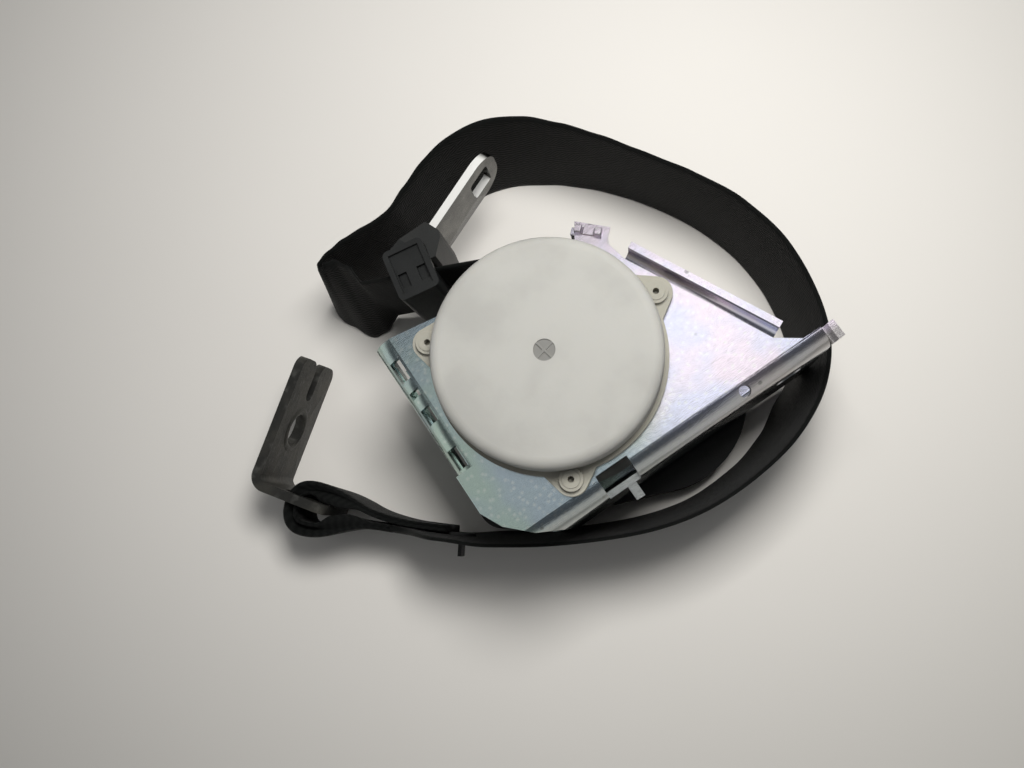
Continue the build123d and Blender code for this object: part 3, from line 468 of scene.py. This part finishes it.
def stitched_block():
    """Rows of short raised threads on the inner face of the sewn end."""
    work = bmesh.new()
    way = Vector((tail_point[0] - bar_point[0], tail_point[1] - bar_point[1], 0)).normalized()
    out = Vector((-way.y, way.x, 0))
    for row in range(stitch_rows):
        up = (row - (stitch_rows - 1) / 2) * (sewn_height - 2 * stitch_margin) / (stitch_rows - 1)
        for column in range(stitch_columns):
            lean = stitch_lean if (row + column) % 2 else -stitch_lean
            along = seam_start + column * stitch_pitch
            middle = Vector((*bar_point, sewn_middle_z + up)) + way * along + out * seam_out
            turn = Matrix((way, Vector((0, 0, 1)), out)).transposed().to_4x4()
            turn = Matrix.Translation(middle * mm) @ turn @ Matrix.Rotation(math.radians(lean), 4, "Z")
            shape = Matrix.Diagonal((stitch_length / 2 * mm, stitch_radius * mm, stitch_radius * mm, 1.0))
            bmesh.ops.create_uvsphere(work, u_segments=8, v_segments=6, radius=1.0, matrix=turn @ shape)
    return work


stitches = new_piece("loop_stitches", stitched_block(), "retractor")
thread = Surface("thread", {"Sheen Weight": 0.3, "Specular IOR Level": 0.4})
thread_twist = thread.noise(thread.stretch(thread.place(), (3.0, 3.0, 0.6)), 2.0)
thread.colour(thread.blend((0.012, 0.012, 0.013), (0.05, 0.05, 0.05), thread_twist))
thread.roughness(0.45 + thread_twist * 0.3)
thread.onto(stitches)

# Steel pieces inside. The torsion bar and the pins are turned, the ratchet wheel and the pawl are
# stamped and hardened, and all are left bare. The two springs are rolled from blued strip and wire.
bare_steel_pieces = ("torsion_bar", "ratchet_wheel", "locking_pawl", "pawl_pin", "sensor_ball",
                     "cover_screws")
blued_steel_pieces = ("mainspring", "pawl_spring")


def steel_surface(name, base, rough):
    """Bare steel with fine scratches and a few dull patches."""
    surface = Surface(name, {"Metallic": 1.0})
    place = surface.place()
    scratch = surface.noise(surface.stretch(place, (1.0, 6.0, 6.0)), 1.6, 4.0)
    patch = surface.noise(place, 0.12)
    surface.colour(surface.blend(base, [value * 0.72 for value in base], patch.ramp(0.45, 0.75) * 0.7))
    surface.roughness(rough + scratch * 0.12 + patch * 0.06)
    surface.relief(scratch, 0.02)
    return surface


plain_steel = steel_surface("plain_steel", (0.46, 0.46, 0.47), 0.2)
plain_steel.onto(*(nodes[name] for name in bare_steel_pieces))
blued_steel = steel_surface("blued_steel", (0.20, 0.22, 0.27), 0.25)
blued_steel.onto(*(nodes[name] for name in blued_steel_pieces))

# Tongue blade. Pressed steel plate, nickel plated, with a window for the latch. Its sheared top edge and
# all that faces up get a painted highlight, and its faces are painted near black, a painted reflection of
# the dark belt.
blade_edge_radius = 0.35
soften_angle = 35.0


def soften(name, width):
    """Round a CAD node's edges a little, as pressing, moulding or deburring leaves them."""
    thing = nodes[name]
    weld = thing.modifiers.new("weld", "WELD")
    weld.merge_threshold = 0.01 * mm
    bevel = thing.modifiers.new("edges", "BEVEL")
    bevel.width = width * mm
    bevel.segments = 2
    bevel.limit_method = "ANGLE"
    bevel.angle_limit = math.radians(soften_angle)
    bevel.harden_normals = False
    return thing


def blade_surface():
    """Plated blade: fine scratches, faces painted near black as a painted reflection of the dark belt, and
    a painted highlight where it faces up.
    """
    surface = Surface("bright_steel", {})
    place = surface.place()
    scratch = surface.noise(surface.stretch(place, (1.0, 6.0, 6.0)), 1.6, 4.0)
    patch = surface.noise(place, 0.15, 3.0)
    # Painted highlight: where the surface faces up it is painted pale and made less metallic.
    facing = surface.node("ShaderNodeNewGeometry", output="Normal")
    edge = surface.axis(facing, "Z").ramp(0.55, 0.9)
    # Painted reflection: the faces are painted near black for the dark belt that they mirror.
    face = surface.blend((0.045, 0.045, 0.042), (0.10, 0.10, 0.092), patch.ramp(0.35, 0.7))
    surface.colour(surface.blend(face, (0.74, 0.74, 0.72), edge))
    surface.feed(surface.shader.inputs["Metallic"], 1.0 - edge * 0.75)
    surface.roughness(0.15 + scratch * 0.12 + edge * 0.2)
    surface.relief(scratch, 0.02)
    return surface


bright_steel = blade_surface()
bright_steel.onto(soften("tongue_plate", blade_edge_radius))

# Tongue grip, stop button, mechanism cover and sensor housing. All are black plastic, injection
# moulded with a fine spark grain. The grip is moulded round the blade and the cover is screwed on.
grip_edge_radius = 0.5
cover_edge_radius = 0.4


def plastic_surface(name, base, rough, grain, depth):
    """Moulded plastic: a fine grain, faint flow and dull patches."""
    surface = Surface(name, {"Specular IOR Level": 0.4})
    place = surface.place()
    pits = surface.cells(place, grain)
    patch = surface.noise(place, 0.08, 3.0)
    surface.colour(surface.blend(base, [value * 1.5 for value in base], patch.ramp(0.35, 0.75) * 0.5))
    surface.roughness(rough + patch * 0.14 + pits * 0.08)
    surface.relief(pits, depth)
    return surface


black_plastic = plastic_surface("black_plastic", (0.0125, 0.0132, 0.0132), 0.42, 2.4, 0.03)
black_plastic.onto(nodes["sensor_housing"], nodes["stop_button"], soften("tongue_grip", grip_edge_radius),
                   soften("mechanism_cover", cover_edge_radius))

# Spool, bushes, arbor, control disc and sensor lever. They are moulded in natural acetal, which is
# milky and a little waxy. They turn or tip on each other, on the torsion bar or on small pins.
acetal_pieces = ("spool", "upper_bush", "lower_bush", "spring_arbor", "control_disc", "sensor_lever")
natural_plastic = plastic_surface("natural_plastic", (0.62, 0.62, 0.58), 0.35, 1.6, 0.01)
natural_plastic.onto(*(nodes[name] for name in acetal_pieces))

# Anchor plate. Pressed from thick plate, phosphated dark and rubbed grey at its edges. A ring is
# pressed up round each side of the bolt hole.
anchor_corner = Vector((-106.9, 31.4, 0.0))
anchor_angle = 35.5
anchor_thickness = 3.2
anchor_middle_z = 15.0
hole_along = 22.7
hole_radius = 5.5
ring_section = [(0.35, 0.0), (0.55, 0.3), (1.1, 0.42), (1.9, 0.36), (2.6, 0.0), (1.5, -0.3)]
ring_steps = 72
ring_smooth_angle = 50
anchor_edge_radius = 0.5


def dark_steel_surface():
    """Phosphated steel: near black, with brown and grey patches and a fine crystal grain."""
    surface = Surface("dark_steel", {"Metallic": 0.5})
    place = surface.place()
    grain = surface.cells(place, 1.8)
    patch = surface.noise(place, 0.12, 4.0)
    scuff = surface.noise(surface.stretch(place, (0.5, 0.5, 2.0)), 0.5, 5.0)
    dark = surface.blend((0.030, 0.030, 0.028), (0.062, 0.060, 0.052), patch.ramp(0.35, 0.7))
    surface.colour(surface.blend(dark, (0.17, 0.17, 0.16), scuff.ramp(0.52, 0.76) * 0.4))
    surface.roughness(0.38 + grain * 0.2 + patch * 0.1)
    surface.relief(grain + scuff, 0.04)
    return surface


def pressed_rings():
    """A low ring round the bolt hole on both faces of the long leg."""
    work = bmesh.new()
    way = Vector((math.cos(math.radians(anchor_angle)), math.sin(math.radians(anchor_angle)), 0))
    out = Vector((-way.y, way.x, 0))
    for side, face in ((1, 0.0), (-1, -anchor_thickness)):
        middle = anchor_corner + way * hole_along + out * face + Vector((0, 0, anchor_middle_z))
        rows = []
        for step in range(ring_steps):
            angle = 2 * math.pi * step / ring_steps
            around = way * math.cos(angle) + Vector((0, 0, math.sin(angle)))
            rows.append([work.verts.new((middle + around * (hole_radius + rim) + out * (side * rise)) * mm)
                         for rim, rise in ring_section])
        for step, row in enumerate(rows):
            following = rows[(step + 1) % ring_steps]
            for corner in range(len(ring_section)):
                other = (corner + 1) % len(ring_section)
                work.faces.new((row[corner], row[other], following[other], following[corner]))
    return work


dark_steel = dark_steel_surface()
dark_steel.onto(soften("anchor_plate", anchor_edge_radius))
hole_rings = new_piece("anchor_hole_rings", pressed_rings(), "anchor", ring_smooth_angle)
dark_steel.onto(hole_rings)

# Frame and tie bar. Steel sheet, folded, zinc plated and passivated, with the bar staked through both
# side plates. The film tints it: green to blue near the left bend, pink and lilac on the open plate.
frame_edge_radius = 0.35
bar_edge_radius = 0.3
cool_until_x = 8.0
warm_from_x = 46.0
bend_shade_start_y = -36.5
bend_shade_end_y = -39.5


def zinc_surface():
    """Passivated zinc with its faint rainbow, spangle, scratches, a few dark specks, and painted shade on
    the back wall.
    """
    surface = Surface("zinc", {"Metallic": 1.0})
    place = surface.place()
    across = surface.axis(place, "X")
    drift = surface.noise(place, 0.03, 3.0)
    spangle = surface.cells(place, 0.55)
    scratch = surface.noise(surface.stretch(place, (0.7, 5.0, 5.0)), 0.8, 5.0)
    speck = surface.cells(place, 0.11).ramp(0.1, 0.05)
    cool = surface.blend((0.52, 0.66, 0.60), (0.50, 0.61, 0.68), drift.ramp(0.42, 0.60))
    warm = surface.blend((0.86, 0.78, 0.88), (0.74, 0.76, 0.92), drift.ramp(0.44, 0.58))
    tint = surface.blend(cool, warm, (across + drift * 30.0).ramp(cool_until_x, warm_from_x))
    plate = surface.blend(tint, (0.82, 0.86, 0.82), spangle.ramp(0.45, 0.1) * 0.3)
    # Painted shade: the back wall and the bend into it are painted darker, for the dark surroundings they
    # mirror.
    bend = surface.axis(place, "Y").ramp(bend_shade_start_y, bend_shade_end_y)
    plate = surface.blend(plate, (0.40, 0.40, 0.37), bend * 0.75)
    surface.colour(surface.blend(plate, (0.22, 0.22, 0.21), speck * 0.6))
    surface.roughness(0.15 + scratch * 0.10 + spangle * 0.04)
    surface.relief(spangle * 0.5 + scratch, 0.03)
    return surface


zinc = zinc_surface()
zinc.onto(soften("frame", frame_edge_radius), soften("tie_bar", bar_edge_radius))

# Spring side. A cream moulded dish covers the clock spring; its tray has three ears, and three
# plain push pins hold it to the side plate. The dish has a round mark at its centre.
moulded_edge_radius = 0.3
mark_radius = 3.0
mark_floor_z = 82.9


def cream_surface(name, base, glow):
    """Off-white plastic that lets a little light in, with soft stains."""
    surface = Surface(name, {"Subsurface Weight": glow, "Subsurface Scale": 0.004,
                             "Subsurface Radius": (1.0, 0.9, 0.7), "Specular IOR Level": 0.4})
    place = surface.place()
    stain = surface.noise(place, 0.05, 4.0)
    speck = surface.noise(place, 0.9, 2.0)
    shade = surface.blend(base, [value * 0.88 for value in base], stain.ramp(0.4, 0.7))
    plan = surface.stretch(place, (1.0, 1.0, 0.0))
    mark = surface.distance(plan, (0.0, 0.0, 0.0)).ramp(mark_radius + 0.15, mark_radius - 0.05)
    sunk = surface.axis(place, "Z").ramp(mark_floor_z + 0.2, mark_floor_z)
    surface.colour(surface.blend(shade, [value * 0.5 for value in base], mark * sunk))
    surface.roughness(0.36 + stain * 0.14 + speck * 0.06)
    surface.relief(speck, 0.02)
    return surface


cream = cream_surface("cream_plastic", (0.375, 0.372, 0.350), 0.2)
cream.onto(soften("spring_cover", moulded_edge_radius))
tan = cream_surface("tan_plastic", (0.32, 0.31, 0.265), 0.15)
tan.onto(soften("spring_base", moulded_edge_radius), nodes["push_pins"])

# Table top. It is pale, warm grey and plain, and painted a little darker away from the lamp, a painted
# falloff of its light.
# Far out it is as pale as the room where it is seen or mirrored, and that paleness lights nothing else.
table_size = 4.0
table_colours = ((0.72, 0.70, 0.665), (0.75, 0.73, 0.695))
table_painted_shade_colour = (0.50, 0.488, 0.455)
table_painted_light_place = (-20.0, 95.0, 0.0)
table_painted_shade_between = (100.0, 420.0)
table_glow_colour = (0.42, 0.41, 0.385)
table_glows_between = (270.0, 720.0)


def seen_or_mirrored(surface):
    """1 where a thing is seen, straight or in metal or glass, and 0 where it only lights other things."""
    camera_ray, glossy_ray, through_ray = (surface.node("ShaderNodeLightPath", output=name) for name in
                                           ("Is Camera Ray", "Is Glossy Ray", "Is Transmission Ray"))
    return camera_ray.most(glossy_ray).most(through_ray)


def table_top():
    """A pale painted top with a faint mottle, and painted shade away from the lamp."""
    surface = Surface("table", {"Roughness": 0.6, "Specular IOR Level": 0.3, "Emission Strength": 1.0})
    place = surface.place()
    mottle = surface.noise(place, 0.01, 3.0)
    # Painted shade: the top is painted darker with distance from the lamp's bright place.
    dim = surface.distance(place, table_painted_light_place).ramp(*table_painted_shade_between)
    surface.colour(surface.blend(surface.blend(*table_colours, mottle), table_painted_shade_colour, dim))
    far = surface.distance(place, (0.0, 0.0, 0.0)).ramp(*table_glows_between)
    glow = surface.blend((0.0, 0.0, 0.0), table_glow_colour, far * seen_or_mirrored(surface))
    surface.feed(surface.shader.inputs["Emission Color"], glow)
    return surface


bpy.ops.mesh.primitive_plane_add(size=table_size)
table = bpy.context.object
table.name = "table"
table_top().onto(table)

# Light. One small soft lamp hangs close over the far part of the loop, in a dim pale room. Two weak
# panels stand where the plate mirrors them, and the lamp itself isn't mirrored.
lamp_colour = (1.0, 0.985, 0.96)


def soft_lamp(name, place, size, power):
    """A square lamp that faces straight down, with its place and size in millimetres."""
    data = bpy.data.lights.new(name, "AREA")
    data.shape = "SQUARE"
    data.size = size * mm
    data.energy = power
    data.color = lamp_colour
    light = bpy.data.objects.new(name, data)
    light.location = Vector(place) * mm
    light.visible_camera = False
    bpy.context.scene.collection.objects.link(light)
    return light


lamp = soft_lamp("lamp", (100.0, 45.0, 360.0), 130.0, 1.42)
lamp.visible_glossy = False
soft_lamp("right_panel", (122.0, 52.0, 500.0), 200.0, 0.165)
soft_lamp("left_panel", (-95.0, 60.0, 500.0), 240.0, 0.075)

# The room is dim overhead and paler near the floor, where its walls are. Heights are the upward part of
# the line of sight, 0 level and 1 straight up.
overhead = (0.075, 0.077, 0.080)
walls = (0.33, 0.335, 0.34)
wall_seen = (0.60, 0.59, 0.565)
walls_end = 0.40
overhead_start = 0.75


class Room(Surface):
    """The world while it is made: its background, and the nodes that feed it."""

    def __init__(self, name):
        self.world = bpy.data.worlds.new(name)
        self.world.use_nodes = True
        self.tree = self.world.node_tree
        self.shader = self.tree.nodes["Background"]


room = Room("room")
sight = room.node("ShaderNodeTexCoord", output="Generated")
rise = room.axis(sight, "Z").ramp(walls_end, overhead_start)
room_light = room.blend(walls, overhead, rise)
room_seen = room.blend(wall_seen, overhead, rise)
room.feed(room.shader.inputs["Color"], room.blend(room_light, room_seen, seen_or_mirrored(room)))
bpy.context.scene.world = room.world
bpy.context.scene.view_settings.view_transform = "Standard"
